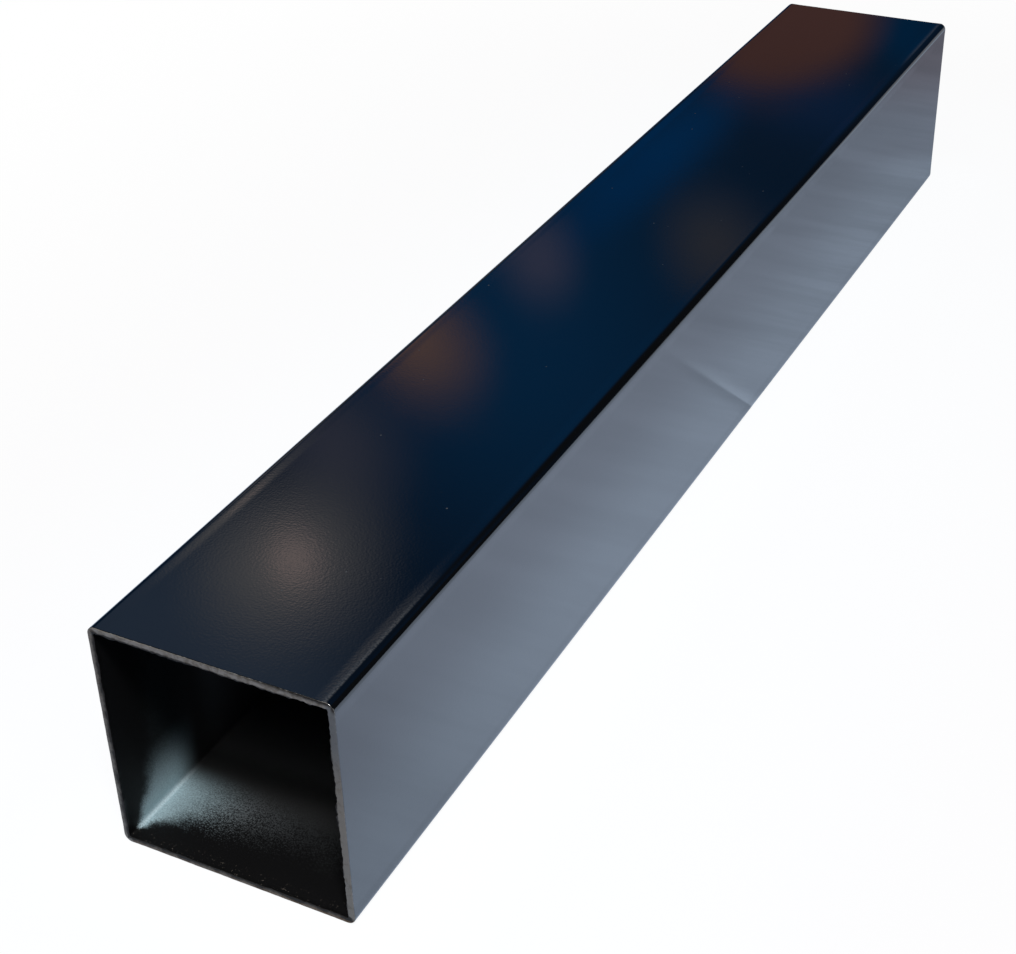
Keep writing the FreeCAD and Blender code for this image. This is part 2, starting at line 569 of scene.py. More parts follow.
@dataclass(frozen=True)
class SawnSteel:
    """Sawn end of the wall: dull grey, finely scratched steel with grime below and coat over its edges."""

    name: str = "sawn_steel"
    colour: Colour = (0.197, 0.184, 0.166)
    dull_colour: Colour = (0.130, 0.117, 0.101)
    cool_colour: Colour = (0.07, 0.085, 0.10)
    grime_colour: Colour = (0.126, 0.074, 0.034)
    coat_colour: Colour = (0.008, 0.0065, 0.005)
    bright_roughness: float = 0.45
    dull_roughness: float = 0.68
    specular: float = 0.2
    metal: float = 0.5
    stains: Clouds = Clouds(2.5 * MM, 4.0, 0.65)
    stain_range: Span = (0.4, 0.65)
    dull_share: float = 0.6
    cool_height: Span = (60 * MM, 85 * MM)
    cool_share: float = 0.6
    scratches: Clouds = Clouds(0.25 * MM, 3.0, 0.7)
    scratch_stretch: Point = (1.0, 1.0, 0.12)
    scratch_relief: float = 25 * MICRON
    patches: Clouds = Clouds(7 * MM, 3.0)
    patch_range: Span = (0.42, 0.62)
    tip_reach: Span = (2.5 * MM, 5 * MM)
    grit: Specks = Specks(0.9 * MM, 0.45, 0.42)
    grime_height: Span = (3 * MM, 1 * MM)
    grime_least: float = 0.55
    grime_run: Span = (-20 * MM, 40 * MM)
    grime_left_share: float = 0.6
    ragged: Clouds = Clouds(1.6 * MM, 3.0, 0.6)
    ragged_swing: float = 1.3 * MM
    creep_reach: float = 0.05 * MM
    creep_lean: float = 1.1 * MM
    creep_blend: float = 0.3 * MM
    cover_reach: float = 1.1 * MM
    cover_swing: float = 0.8 * MM
    cover_blend: float = 1.1 * MM
    cover_run: Span = (45 * MM, 100 * MM)
    cover_least: float = 0.52
    cover_lower_share: float = 0.6
    outer_reach: float = 0.2 * MM
    outer_lean: float = 2.4 * MM
    outer_blend: float = 0.8 * MM

    def material(self, effects: SharedEffects, side: float, wall: float) -> bpy.types.Material:
        """Make the material.

        The upper wall's end is the brightest and the right one cools upwards. Grime lies along the lower
        edge in patches and grit, more towards the right. Coat creeps a little over the upper wall's inner
        edge towards the left, covers the left and lower walls from their inner edge out, in patches and
        less away from the corner between them, and creeps softly over the outer edge of the upper wall,
        further towards its right. The tip of the lower left corner has no grime and little coat.

        Args:
            effects: the shared node groups.
            side: outside width of a flat side.
            wall: wall thickness.

        Returns:
            The material.
        """
        material, sheet, shader = finish_material(self.name)
        place = sheet.place()
        x, _, z = sheet.axes(place)
        from_left = sheet.plus(x, side / 2)
        on_left = sheet.step(from_left, 2 * wall, wall)
        on_right = sheet.step(from_left, side - 2 * wall, side - wall)
        on_lower = sheet.step(z, 2 * wall, wall)
        on_upper = sheet.step(z, side - 2 * wall, side - wall)
        past_tip = sheet.step(sheet.most(z, from_left), *self.tip_reach)
        patchy = sheet.step(sheet.noise(place, self.patches), *self.patch_range)

        stain = sheet.step(sheet.noise(place, self.stains), *self.stain_range)
        stain = sheet.most(stain, sheet.between(on_upper, self.dull_share, 0.0))
        steel = sheet.mix(stain, self.colour, self.dull_colour)
        cool = sheet.times(on_right, sheet.step(z, *self.cool_height, 0.0, self.cool_share))
        steel = sheet.mix(cool, steel, self.cool_colour)

        spread = sheet.most(sheet.between(patchy, self.grime_least, 1.0), self.grit.mask(sheet, effects))
        strength = sheet.step(x, *self.grime_run, self.grime_left_share)
        grime = sheet.times(sheet.step(z, *self.grime_height), spread, past_tip, strength)
        dirty = sheet.mix(grime, steel, self.grime_colour)

        from_corner = sheet.most(z, sheet.times(from_left, self.cover_lower_share))
        thinned = sheet.step(from_corner, *self.cover_run, 1.0, self.cover_least)
        covered = sheet.times(sheet.most(on_left, on_lower), thinned, past_tip)
        creep_reach = sheet.minus(self.creep_reach, sheet.times(x, self.creep_lean / side))
        cover_swing = sheet.times(sheet.minus(patchy, 0.5), self.cover_swing)
        reach = sheet.between(covered, creep_reach, sheet.plus(self.cover_reach, cover_swing))
        blend = sheet.between(covered, self.creep_blend, self.cover_blend)
        ragged = sheet.times(sheet.swing(place, self.ragged), self.ragged_swing)
        height = sheet.plus(sheet.group(effects.whereabouts).outputs["Height"], ragged)
        inner = sheet.step(sheet.minus(height, reach), blend, sheet.times(blend, -1.0))
        outer_reach = sheet.plus(self.outer_reach, sheet.times(x, self.outer_lean / side))
        past_outer = sheet.minus(sheet.minus(wall, height), outer_reach)
        outer = sheet.times(on_upper, sheet.step(past_outer, self.outer_blend, -self.outer_blend))
        coat = sheet.most(inner, outer)

        sheet.feed(shader.inputs["Base Color"], sheet.mix(coat, dirty, self.coat_colour))
        sheet.feed(shader.inputs["Metallic"], sheet.between(sheet.most(coat, grime), self.metal, 0.0))
        roughness = sheet.between(stain, self.bright_roughness, self.dull_roughness)
        sheet.feed(shader.inputs["Roughness"], roughness)
        shader.inputs["Specular IOR Level"].default_value = self.specular
        scratches = sheet.noise(sheet.stretch(place, self.scratch_stretch), self.scratches)
        sheet.feed(shader.inputs["Normal"], sheet.bump(scratches, self.scratch_relief))
        return material


@dataclass(frozen=True)
class BoreCoat:
    """Inside of the tube: coat as far as the spray reached from the mouths, and bare steel past it, most of
    all along the lower left corner, where the spray didn't get."""

    name: str = "bore_coat_and_steel"
    coat_colour: Colour = (0.0022, 0.0022, 0.0024)
    steel_colour: Colour = (0.29, 0.395, 0.43)
    grey_colour: Colour = (0.29, 0.32, 0.337)
    # Painted highlight along the bend of the lower left corner
    corner_highlight_colour: Colour = (0.50, 0.60, 0.64)
    # Painted shade deeper in the bore, then a lighter even painted shade further in still
    shade_colour: Colour = (0.022, 0.0223, 0.0226)
    deep_shade_colour: Colour = (0.07, 0.072, 0.074)
    swarf_colour: Colour = (0.095, 0.081, 0.069)
    coat_roughness: float = 0.45
    steel_roughness: float = 0.5
    specular: float = 0.18
    metal: float = 0.3
    corner_depth: float = 5 * MM
    middle_depth: float = 25 * MM
    depth_growth: float = 13 * MM
    depth_lean: float = 0.65
    blend_share: float = 0.38
    film_growth: float = 16 * MM
    film_height: float = 17 * MM
    film_power: float = 2.3
    film_least: float = 0.02
    floor_reach: Span = (4 * MM, 1 * MM)
    grains: Clouds = Clouds(0.52 * MM, 1.0)
    grain_depth: float = 27 * MM
    grain_wall_share: float = 0.6
    grain_run: Span = (6 * MM, 32 * MM)
    grain_share: Span = (0.22, 1.15)
    grain_range: Span = (-0.18, 0.18)
    grain_gain: Span = (0.4, 1.6)
    drift: Clouds = Clouds(9 * MM, 3.0)
    drift_depth: float = 8 * MM
    grey_run: Span = (8 * MM, 40 * MM)
    # Depths of the painted shade, its start leaning with the height, and of the lighter one past it
    shade_depth: Span = (28 * MM, 46 * MM)
    shade_lean: float = 0.1
    deep_shade_depth: Span = (46 * MM, 62 * MM)
    swarf: Clouds = Clouds(1.3 * MM, 4.0, 0.7)
    swarf_range: Span = (0.61, 0.70)
    swarf_depth: Span = (7 * MM, 1 * MM)
    # Reach and strength of the painted highlight along the corner's bend
    highlight_reach: Span = (1.8 * MM, 0.9 * MM)
    highlight_share: float = 0.35
    peel_size: float = 1.5 * MM
    peel_relief: float = 30 * MICRON

    def material(self, effects: SharedEffects, side: float, wall: float) -> bpy.types.Material:
        """Make the material.

        The coat is whole to a depth that grows with the distance from the lower left corner of the bore as
        one less an exponential, where up counts less than across. Past that depth the bare share falls as
        an exponential of the distance across and as a bell curve of the distance up, to a faint rest.
        Grains of coat break up both, most on the lower wall. The bend of the corner is brightest, a painted
        highlight, and the steel greys away from it. Deeper in, a painted shade darkens all of it, and further
        in still a lighter, even painted shade takes over. Crumbs of swarf lie by the mouth.

        Args:
            effects: the shared node groups.
            side: outside width of a flat side.
            wall: wall thickness.

        Returns:
            The material.
        """
        material, sheet, shader = finish_material(self.name)
        place = sheet.place()
        x, _, z = sheet.axes(place)
        depth = sheet.group(effects.whereabouts).outputs["Depth"]
        across = sheet.most(sheet.plus(x, side / 2 - wall), 0.0)
        up = sheet.most(sheet.minus(z, wall), 0.0)
        corner = sheet.plus(across, sheet.times(up, self.depth_lean))

        fall = sheet.math("EXPONENT", sheet.math("DIVIDE", corner, -self.depth_growth))
        whole = sheet.minus(self.middle_depth, sheet.times(fall, self.middle_depth - self.corner_depth))
        lower = sheet.step(up, *self.floor_reach, self.grain_wall_share)
        spread = sheet.step(corner, *self.grain_run, *self.grain_share)
        grains = sheet.times(sheet.swing(place, self.grains), lower, spread)
        drift = sheet.times(sheet.swing(place, self.drift), self.drift_depth)
        uneven = sheet.plus(sheet.times(grains, self.grain_depth), drift)
        past = sheet.plus(sheet.minus(depth, whole), uneven)

        steep = sheet.math("POWER", sheet.math("DIVIDE", up, self.film_height), self.film_power)
        fading = sheet.plus(sheet.math("DIVIDE", across, self.film_growth), steep)
        thin = sheet.most(sheet.math("EXPONENT", sheet.times(fading, -1.0)), self.film_least)
        blend = sheet.times(whole, self.blend_share)
        opened = sheet.step(past, sheet.times(blend, -1.0), blend)
        grained = sheet.step(grains, *self.grain_range, *self.grain_gain)
        bare = sheet.math("MINIMUM", sheet.times(thin, opened, grained), 1.0)

        # Painted shade deeper in the bore, its start leaning with the height, then a lighter even painted
        # shade
        dark = sheet.step(sheet.minus(depth, sheet.times(up, self.shade_lean)), *self.shade_depth)
        deeper_shade = sheet.step(depth, *self.deep_shade_depth)
        crumbs = sheet.step(sheet.noise(place, self.swarf), *self.swarf_range)
        swarf = sheet.times(crumbs, sheet.step(depth, *self.swarf_depth), sheet.step(up, *self.floor_reach))
        # Painted highlight along the bend of the lower left corner
        corner_highlight = sheet.step(corner, *self.highlight_reach, 0.0, self.highlight_share)
        steel = sheet.mix(sheet.step(across, *self.grey_run), self.steel_colour, self.grey_colour)
        steel = sheet.mix(corner_highlight, steel, self.corner_highlight_colour)
        tone = sheet.mix(bare, self.coat_colour, steel)
        tone = sheet.mix(dark, tone, self.shade_colour)
        tone = sheet.mix(deeper_shade, tone, self.deep_shade_colour)
        sheet.feed(shader.inputs["Base Color"], sheet.mix(swarf, tone, self.swarf_colour))
        sheet.feed(shader.inputs["Metallic"], sheet.times(bare, sheet.minus(1.0, dark), self.metal))
        roughness = sheet.between(bare, self.coat_roughness, self.steel_roughness)
        sheet.feed(shader.inputs["Roughness"], roughness)
        shader.inputs["Specular IOR Level"].default_value = self.specular
        peel = sheet.group(effects.orange_peel, Size=self.peel_size)
        sheet.feed(shader.inputs["Normal"], sheet.bump(peel.outputs["Height"], self.peel_relief))
        return material


@dataclass(frozen=True)
class Section:
    """Middle line of the wall, one value a point, going anticlockwise as seen at the near mouth."""

    x: np.ndarray
    z: np.ndarray
    normal_x: np.ndarray
    normal_z: np.ndarray
    across: np.ndarray
    inset: np.ndarray
    run: np.ndarray
    side: np.ndarray


@dataclass(frozen=True)
class WallLoop:
    """Loop round the wall's lengthwise section: out along the outer skin, over the far cut, back inside,
    over the near cut. Level is the distance from the wall's middle, out of the tube, and finish is the
    finish of the band from each station to the next."""

    along: np.ndarray
    level: np.ndarray
    finish: np.ndarray


def ease(value: np.ndarray) -> np.ndarray:
    """Ease from 0 to 1 over the same range: three times the square less twice the cube."""
    held = np.clip(value, 0.0, 1.0)
    return held * held * (3.0 - 2.0 * held)


def graded_stations(start: float, end: float, first: float, growth: float, largest: float) -> np.ndarray:
    """Space stations from both ends of a run towards its middle.

    Steps grow by a constant factor from each end up to the largest, and all are then scaled to fill the run.

    Args:
        start: one end of the run.
        end: the other end.
        first: the first step.
        growth: each step over the one before it.
        largest: the longest step.

    Returns:
        The stations, both ends included.
    """
    span = abs(end - start)
    ramp = int(math.log(largest / first) / math.log(growth))
    steps = first * growth ** np.arange(ramp)
    middle = np.full(max(1, round((span - 2 * steps.sum()) / largest)), largest)
    lengths = np.concatenate((steps, middle, steps[::-1]))
    share = np.concatenate(((0.0,), np.cumsum(lengths))) / lengths.sum()
    return start + (end - start) * share


def ragged_line(run: np.ndarray, around: float, feature: float, draw: np.random.Generator) -> np.ndarray:
    """Uneven closed line between 0 and 1: random heights at even knots round the section, joined straight.

    Args:
        run: distance of each point round the section.
        around: distance once round.
        feature: metres from knot to knot.
        draw: source of the random heights.

    Returns:
        A height for each point.
    """
    count = round(around / feature)
    knots = np.arange(count) * (around / count)
    return np.interp(run, knots, draw.random(count), period=around)


@dataclass
class PostTube:
    """The post: one length of seam-welded square tube with rounded bends and two sawn ends."""

    low: Vector
    high: Vector
    name: str = "post_tube_skin"
    # Wall, bends and cuts
    wall: float = 2.3 * MM
    bend_radius: float = 1.2 * MM
    cut_radius: float = 0.4 * MM
    inner_cut_radius: float = 0.12 * MM
    # Weld bead on the inner face of the right wall
    bead_width: float = 3.0 * MM
    bead_height: float = 0.5 * MM
    # Dish of the sides and the long wave along them
    dish_depth: float = 0.07 * MM
    dish_run: float = 5.0 * MM
    wave_depth: float = 0.05 * MM
    wave_length: float = 190 * MM
    wave_phase: float = 1.9
    # Burr of each side, in their order, with its teeth and splinters
    burr: tuple[float, float, float, float] = (0.90 * MM, 0.75 * MM, 0.30 * MM, 0.30 * MM)
    burr_reach: float = 0.8 * MM
    burr_least: float = 0.2
    tooth_length: float = 2.7 * MM
    tooth_power: float = 1.5
    tooth_share: float = 0.95
    splinter_length: float = 0.9 * MM
    splinter_share: float = 0.7
    # Nibbles of the saw in the rim, larger chips and smaller crumbs
    nibble: float = 0.16 * MM
    nibble_reach: float = 1.5 * MM
    chip_length: float = 4.3 * MM
    chip_share: float = 0.6
    crumb_length: float = 1.3 * MM
    seed: int = 7
    # Points of the mesh over a side, a bend and a cut, and steps along the post
    shoulder_gap: float = 1.0 * MM
    seam_gap: float = 0.1 * MM
    side_counts: tuple[int, int, int, int, int] = (12, 78, 14, 78, 12)
    bend_count: int = 10
    cut_counts: tuple[int, int, int] = (6, 7, 4)
    coated_bands: int = 2
    first_step: float = 0.25 * MM
    step_growth: float = 1.6
    outer_step: float = 22 * MM
    inner_step: float = 40 * MM

    @property
    def side(self) -> float:
        """Outside width of a flat side."""
        return self.high.x - self.low.x

    @property
    def length(self) -> float:
        """Length of the post."""
        return self.high.y - self.low.y

    def section(self) -> Section:
        """Trace the middle line of the wall.

        Each side is a straight run of points, closer together over its middle and near its bends, at half the
        side less half the wall from the axis. A quarter circle leads from it into the next side.

        Returns:
            The section.
        """
        half = self.side / 2 - self.wall / 2
        radius = self.bend_radius + self.wall / 2
        flat = half - radius
        shoulder = flat - self.dish_run - self.shoulder_gap
        seam = self.bead_width / 2 + self.seam_gap
        knots = (-flat, -shoulder, -seam, seam, shoulder, flat)
        spans = [
            np.linspace(start, end, count, endpoint=False)
            for start, end, count in zip(knots, knots[1:], self.side_counts)
        ]
        offsets = np.concatenate(spans)
        turns = np.linspace(0.0, math.pi / 2, self.bend_count, endpoint=False)
        across = np.concatenate((offsets, np.full(turns.size, flat)))
        turned = np.concatenate((np.zeros(offsets.size), turns))
        square = np.arange(len(Side))[:, None] * (math.pi / 2)
        angle = square + turned
        normal_x = np.cos(angle)
        normal_z = np.sin(angle)
        x = flat * np.cos(square) - across * np.sin(square) + radius * normal_x
        z = flat * np.sin(square) + across * np.cos(square) + radius * normal_z
        x, z = x.ravel(), z.ravel()
        steps = np.hypot(np.diff(x, append=x[:1]), np.diff(z, append=z[:1]))
        run = np.concatenate(((0.0,), np.cumsum(steps)[:-1]))
        across = np.broadcast_to(across, angle.shape).ravel()
        return Section(
            x=x,
            z=z + self.side / 2,
            normal_x=normal_x.ravel(),
            normal_z=normal_z.ravel(),
            across=across,
            inset=flat - np.abs(across),
            run=run,
            side=np.repeat(np.arange(len(Side)), turned.size),
        )

    def cut_profile(self) -> tuple[np.ndarray, np.ndarray, np.ndarray]:
        """Profile of a cut from the outer skin to the inner one.

        A quarter circle of the cut radius leads from the outer skin to the flat of the cut, and one of the
        smaller inner radius from there to the inner skin.

        Returns:
            Depth behind the end plane, level, and finish of the band after each point.
        """
        outer, inner = self.cut_radius, self.inner_cut_radius
        half = self.wall / 2
        outer_count, flat_count, inner_count = self.cut_counts
        turn = np.linspace(0.0, math.pi / 2, outer_count)
        flat = np.linspace(half - outer, inner - half, flat_count)[1:-1]
        inner_turn = np.linspace(0.0, math.pi / 2, inner_count)
        depth = np.concatenate(
            (outer - outer * np.sin(turn), np.zeros(flat.size), inner - inner * np.cos(inner_turn))
        )
        level = np.concatenate(
            (half - outer + outer * np.cos(turn), flat, inner - half - inner * np.sin(inner_turn))
        )
        finish = np.full(depth.size, Finish.CUT)
        finish[:self.coated_bands] = Finish.COAT
        finish[-1] = Finish.BORE
        return depth, level, finish

    def wall_loop(self) -> WallLoop:
        """Join the skins and the cuts into one closed loop.

        Returns:
            The loop's stations.
        """
        end = self.length / 2
        half = self.wall / 2
        depth, level, finish = self.cut_profile()
        skin_end = end - self.cut_radius
        bore_end = end - self.inner_cut_radius
        grading = (self.first_step, self.step_growth)
        outer = graded_stations(-skin_end, skin_end, *grading, self.outer_step)[1:-1]
        inner = graded_stations(bore_end, -bore_end, *grading, self.inner_step)[1:-1]
        back_finish = np.concatenate((finish[:-1][::-1], (Finish.COAT,)))
        return WallLoop(
            along=np.concatenate((outer, end - depth, inner, (depth - end)[::-1])),
            level=np.concatenate((np.full(outer.size, half), level, np.full(inner.size, -half), level[::-1])),
            finish=np.concatenate(
                (np.full(outer.size, Finish.COAT), finish, np.full(inner.size, Finish.BORE), back_finish)
            ),
        )

    def surface(self) -> tuple[np.ndarray, np.ndarray]:
        """Work out the whole skin of the tube as one closed grid.

        A point is the section's middle line plus its normal times the loop's level. The sides are dished: a
        point sinks with the eased distance from its bend, and a little more in a long sine wave. The weld
        bead lifts the inner skin of the right wall by its height times one less the square of the offset
        over half its width. At each cut a burr of ragged teeth and splinters pushes the inner edge into the
        bore, and chips and crumbs nibbled by the saw set the rim back, both fading as a bell curve of the
        depth.

        Returns:
            Points by section, loop station and axis, and the finish of each band of stations.
        """
        draw = np.random.default_rng(self.seed)
        section = self.section()
        loop = self.wall_loop()
        around = section.run[-1] + np.hypot(section.x[0] - section.x[-1], section.z[0] - section.z[-1])
        column = np.s_[:, None]

        flatness = ease(section.inset / self.dish_run)[column]
        phase = (section.side * self.wave_phase)[column]
        wave = 0.5 + 0.5 * np.sin(loop.along * (2 * math.pi / self.wave_length) + phase)
        sunk = flatness * (self.dish_depth + self.wave_depth * wave)

        inwards = ease(-loop.level / (self.wall / 2))
        on_seam = (section.side == Side.RIGHT) & (section.inset > 0)
        bead_share = np.clip(1.0 - (2 * section.across / self.bead_width) ** 2, 0.0, 1.0) * on_seam
        bead = (self.bead_height * bead_share)[column] * inwards

        side_middles = np.array([section.run[section.side == side].mean() for side in Side])
        burr_size = np.interp(section.run, side_middles, self.burr, period=around)
        burr = np.zeros_like(wave)
        setback = np.zeros_like(wave)
        for end in (-1.0, 1.0):
            depth = self.length / 2 - end * loop.along
            teeth = ragged_line(section.run, around, self.tooth_length, draw) ** self.tooth_power
            splinters = ragged_line(section.run, around, self.splinter_length, draw) - 0.5
            ragged = self.burr_least + self.tooth_share * teeth + self.splinter_share * splinters
            pushed = np.clip(burr_size * ragged, 0.0, None)[column]
            burr = burr + pushed * np.exp(-((depth / self.burr_reach) ** 2)) * inwards
            chips = self.chip_share * ragged_line(section.run, around, self.chip_length, draw)
            crumbs = (1.0 - self.chip_share) * ragged_line(section.run, around, self.crumb_length, draw)
            nibbled = self.nibble * (chips + crumbs)[column]
            setback = setback - end * nibbled * np.exp(-((depth / self.nibble_reach) ** 2))

        level = loop.level - sunk - bead - burr
        points = np.stack(
            (
                section.x[column] + section.normal_x[column] * level,
                loop.along + setback,
                section.z[column] + section.normal_z[column] * level,
            ),
            axis=-1,
        )
        return points, loop.finish

    def build(self) -> bpy.types.Object:
        """Make the skin's mesh and set it on its body.

        Returns:
            The post's object, with its material slots still empty.
        """
        points, finish = self.surface()
        rounds, stations = points.shape[:2]
        here = np.arange(rounds * stations).reshape(rounds, stations)
        onward = np.roll(here, -1, axis=1)
        beside = np.roll(here, -1, axis=0)
        across = np.roll(beside, -1, axis=1)
        quads = np.stack((here, onward, across, beside), axis=-1).reshape(-1, 4)
        mesh = bpy.data.meshes.new(self.name)
        mesh.from_pydata(points.reshape(-1, 3), [], quads)
        mesh.polygons.foreach_set("material_index", np.tile(finish, rounds).astype(np.int32))
        mesh.shade_smooth()
        mesh.update()
        post = bpy.data.objects.new(self.name, mesh)
        bpy.context.scene.collection.objects.link(post)
        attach(post, POST_BODY)
        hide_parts(POST_NODE)
        LOG.info("%s: %d by %d points", self.name, rounds, stations)
        return post

    def dress(self, post: bpy.types.Object) -> None:
        """Give the post its three finishes, in the order of its slots.

        Args:
            post: the post's object.
        """
        effects = SharedEffects.build(self.side, self.wall, self.length)
        finishes = {
            Finish.COAT: BlackCoat().material(effects, self.side),
            Finish.CUT: SawnSteel().material(effects, self.side, self.wall),
            Finish.BORE: BoreCoat().material(effects, self.side, self.wall),
        }
        for finish in Finish:
            post.data.materials.append(finishes[finish])
            LOG.info("%s: %s", self.name, finishes[finish].name)


def hide_from(thing: bpy.types.Object, *rays: Unseen) -> None:
    """Keep a studio object out of the given kinds of ray."""
    for ray in rays:
        setattr(thing, ray.value, False)


def grid_object(name: str, points: np.ndarray) -> bpy.types.Object:
    """Make an open grid of points into an object.

    Args:
        name: name of the mesh and the object.
        points: points by row, column and axis.

    Returns:
        The object, linked to the scene.
    """
    rows, columns = points.shape[:2]
    index = np.arange(rows * columns).reshape(rows, columns)
    quads = np.stack((index[:-1, :-1], index[:-1, 1:], index[1:, 1:], index[1:, :-1]), axis=-1)
    mesh = bpy.data.meshes.new(name)
    mesh.from_pydata(points.reshape(-1, 3), [], quads.reshape(-1, 4))
    mesh.update()
    thing = bpy.data.objects.new(name, mesh)
    bpy.context.scene.collection.objects.link(thing)
    return thing


@dataclass(frozen=True)
class Floor:
    """Pale sheet that the post lies on. To the camera it is nearly white and fades into the white beyond."""

    name: str = "studio_floor"
    margin: float = 1.2
    colour: Colour = (0.645, 0.785, 1.0)
    # Painted shade: the colour darkens with the distance from the post, again further on, and at the sheet's
    # end
    falloff_colour: Colour = (0.538, 0.631, 0.81)
    far_falloff_colour: Colour = (0.44, 0.41, 0.51)
    end_shade_colour: Colour = (0.02, 0.025, 0.035)
    mirrored_colour: Colour = (0.66, 0.80, 1.0)
    # Painted light of the fold's light strip, shown to glossy rays
    fold_highlight_colour: Colour = (1.07, 1.30, 1.62)
    # Reaches of the painted shade away from the post and at the sheet's end
    falloff_reach: Span = (0.012, 0.055)
    far_falloff_reach: Span = (0.07, 0.22)
    end_shade_reach: Span = (0.5, 0.9)
    white_share: float = 0.94
    white_reach: float = 0.6
    gloss_share: Span = (0.12, 0.9)
    gloss_reach: Span = (0.07, 0.12)
    streaks: Clouds = Clouds(0.042, 6.0, 0.7)
    streak_stretch: Point = (0.15, 1.0, 1.0)
    streak_range: Span = (0.33, 0.67)
    streak_run: Span = (-0.05, 0.2)
    streak_share: Span = (0.08, 0.20)
    # Painted shade towards the near mouth
    mouth_shade_share: float = 0.27
    mouth_shade_reach: float = 0.22
    # Fold painted as a light and a shade strip on the flat sheet
    fold_place: float = 0.041
    fold_slope: float = 0.57
    fold_edge: float = 0.001
    fold_reach: Span = (0.07, 0.02)
    fold_highlight_width: float = 0.016
    fold_highlight_share: float = 0.30
    fold_shade_width: float = 0.014
    fold_shade_share: float = 0.20

    def build(self, post: PostTube) -> bpy.types.Object:
        """Make the floor: a level sheet under the post, as large as its box plus a margin.

        Args:
            post: the post that lies on it.

        Returns:
            The floor.
        """
        across = (post.low.x - self.margin, post.high.x + self.margin)
        along = (post.low.y - self.margin, post.high.y + self.margin)
        x, y = np.meshgrid(across, along)
        floor = grid_object(self.name, np.stack((x, y, np.full_like(x, post.low.z)), axis=-1))
        floor.data.materials.append(self.material(post))
        LOG.info("%s", self.name)
        return floor

    def fold(self, sheet: NodeSheet, x: Socket, y: Socket, post: PostTube) -> tuple[Socket, Socket]:
        """Draw the slanting fold to the right of the post, painted as light and shade on the flat sheet.

        Args:
            sheet: the material's sheet.
            x: place across the post.
            y: place along the post.
            post: the post that lies on the floor.

        Returns:
            Masks of the painted light strip behind the fold's edge and of the painted shade strip before it.
        """
        from_post = sheet.minus(x, post.high.x)
        slant = sheet.times(from_post, self.fold_slope)
        from_edge = sheet.minus(sheet.minus(y, self.fold_place), slant)
        on_right = sheet.times(sheet.step(x, 0.0, post.high.x), sheet.step(from_post, *self.fold_reach))
        behind = sheet.step(from_edge, -self.fold_edge, self.fold_edge)
        light = sheet.step(from_edge, self.fold_highlight_width, 0.0)
        dark = sheet.step(from_edge, -self.fold_shade_width, 0.0)
        return sheet.times(behind, light, on_right), sheet.times(sheet.minus(1.0, behind), dark, on_right)

    def material(self, post: PostTube) -> bpy.types.Material:
        """Make the sheet's material.

        The sheet is lit by the lamps. Its colour holds painted shade: it dims over the first part of the way
        from the post's box, and again further on, and goes dark at its end. Away from the camera it also has
        painted shade towards the near mouth, a fold painted as a light and a shade strip, and faint streaks
        square to the post, fainter along its near half. A white share shows over that to the camera, growing
        to all of it at the end, and a pale share to glossy and transmission rays, small by the post and large
        to either side.

        Args:
            post: the post that lies on it.

        Returns:
            The material.
        """
        material, sheet = blank_material(self.name)
        material.cycles.emission_sampling = "NONE"
        place = sheet.place()
        x, y, _ = sheet.axes(place)
        beside = sheet.minus(sheet.math("ABSOLUTE", x), post.side / 2)
        beyond = sheet.minus(sheet.math("ABSOLUTE", y), post.length / 2)
        away = sheet.length(sheet.most(beside, 0.0), sheet.most(beyond, 0.0))
        # Painted shade: the sheet goes dark at its end
        end = sheet.step(away, *self.end_shade_reach)
        fold_highlight, sunk = self.fold(sheet, x, y, post)
        rays = sheet.add("ShaderNodeLightPath").outputs
        to_camera = rays["Is Camera Ray"]
        to_gloss = sheet.most(rays["Is Glossy Ray"], rays["Is Transmission Ray"])

        # Painted shade: darker with the distance from the post, twice over
        tone = sheet.mix(sheet.step(away, *self.falloff_reach), self.colour, self.falloff_colour)
        tone = sheet.mix(sheet.step(away, *self.far_falloff_reach), tone, self.far_falloff_colour)
        cloud = sheet.noise(sheet.stretch(place, self.streak_stretch), self.streaks)
        strength = sheet.step(y, *self.streak_run, *self.streak_share)
        streaked = sheet.times(sheet.step(cloud, *self.streak_range), strength)
        # Painted shade towards the near mouth, hidden from the camera
        mouth_shade = sheet.step(y, post.low.y + self.mouth_shade_reach, post.low.y, 0.0, self.mouth_shade_share)
        shade = sheet.plus(streaked, mouth_shade, sheet.times(sunk, self.fold_shade_share))
        shaded = sheet.mix(sheet.times(shade, sheet.minus(1.0, to_camera)), tone, BLACK)
        lit = sheet.add("ShaderNodeBsdfDiffuse")
        sheet.feed(lit.inputs["Color"], sheet.mix(end, shaded, self.end_shade_colour))

        # Painted light of the fold's light strip, shown to glossy rays
        in_gloss = sheet.mix(fold_highlight, self.mirrored_colour, self.fold_highlight_colour)
        white = sheet.add("ShaderNodeEmission")
        sheet.feed(white.inputs["Color"], sheet.mix(to_camera, in_gloss, WHITE))
        seen = sheet.step(away, 0.0, self.white_reach, self.white_share)
        pale = sheet.step(beside, *self.gloss_reach, *self.gloss_share)
        # More pale share along the fold's painted light strip
        pale = sheet.plus(pale, sheet.times(fold_highlight, self.fold_highlight_share))
        mirrored = sheet.times(to_gloss, pale, sheet.minus(1.0, end))
        blend = sheet.add("ShaderNodeMixShader")
        sheet.feed(blend.inputs[0], sheet.most(sheet.times(to_camera, seen), mirrored))
        sheet.feed(blend.inputs[1], lit.outputs[0])
        sheet.feed(blend.inputs[2], white.outputs[0])
        sheet.surface(blend.outputs[0])
        return material


@dataclass(frozen=True)
class Glow:
    """Soft oval of colour on the backdrop: its middle and half its size in metres, across and up. It is
    full over the core, a share of its size, fades out from there, and leans by so many metres across for
    one up."""

    across: float
    up: float
    half_width: float
    half_height: float
    colour: Colour
    core: float = 0.0
    lean: float = 0.0


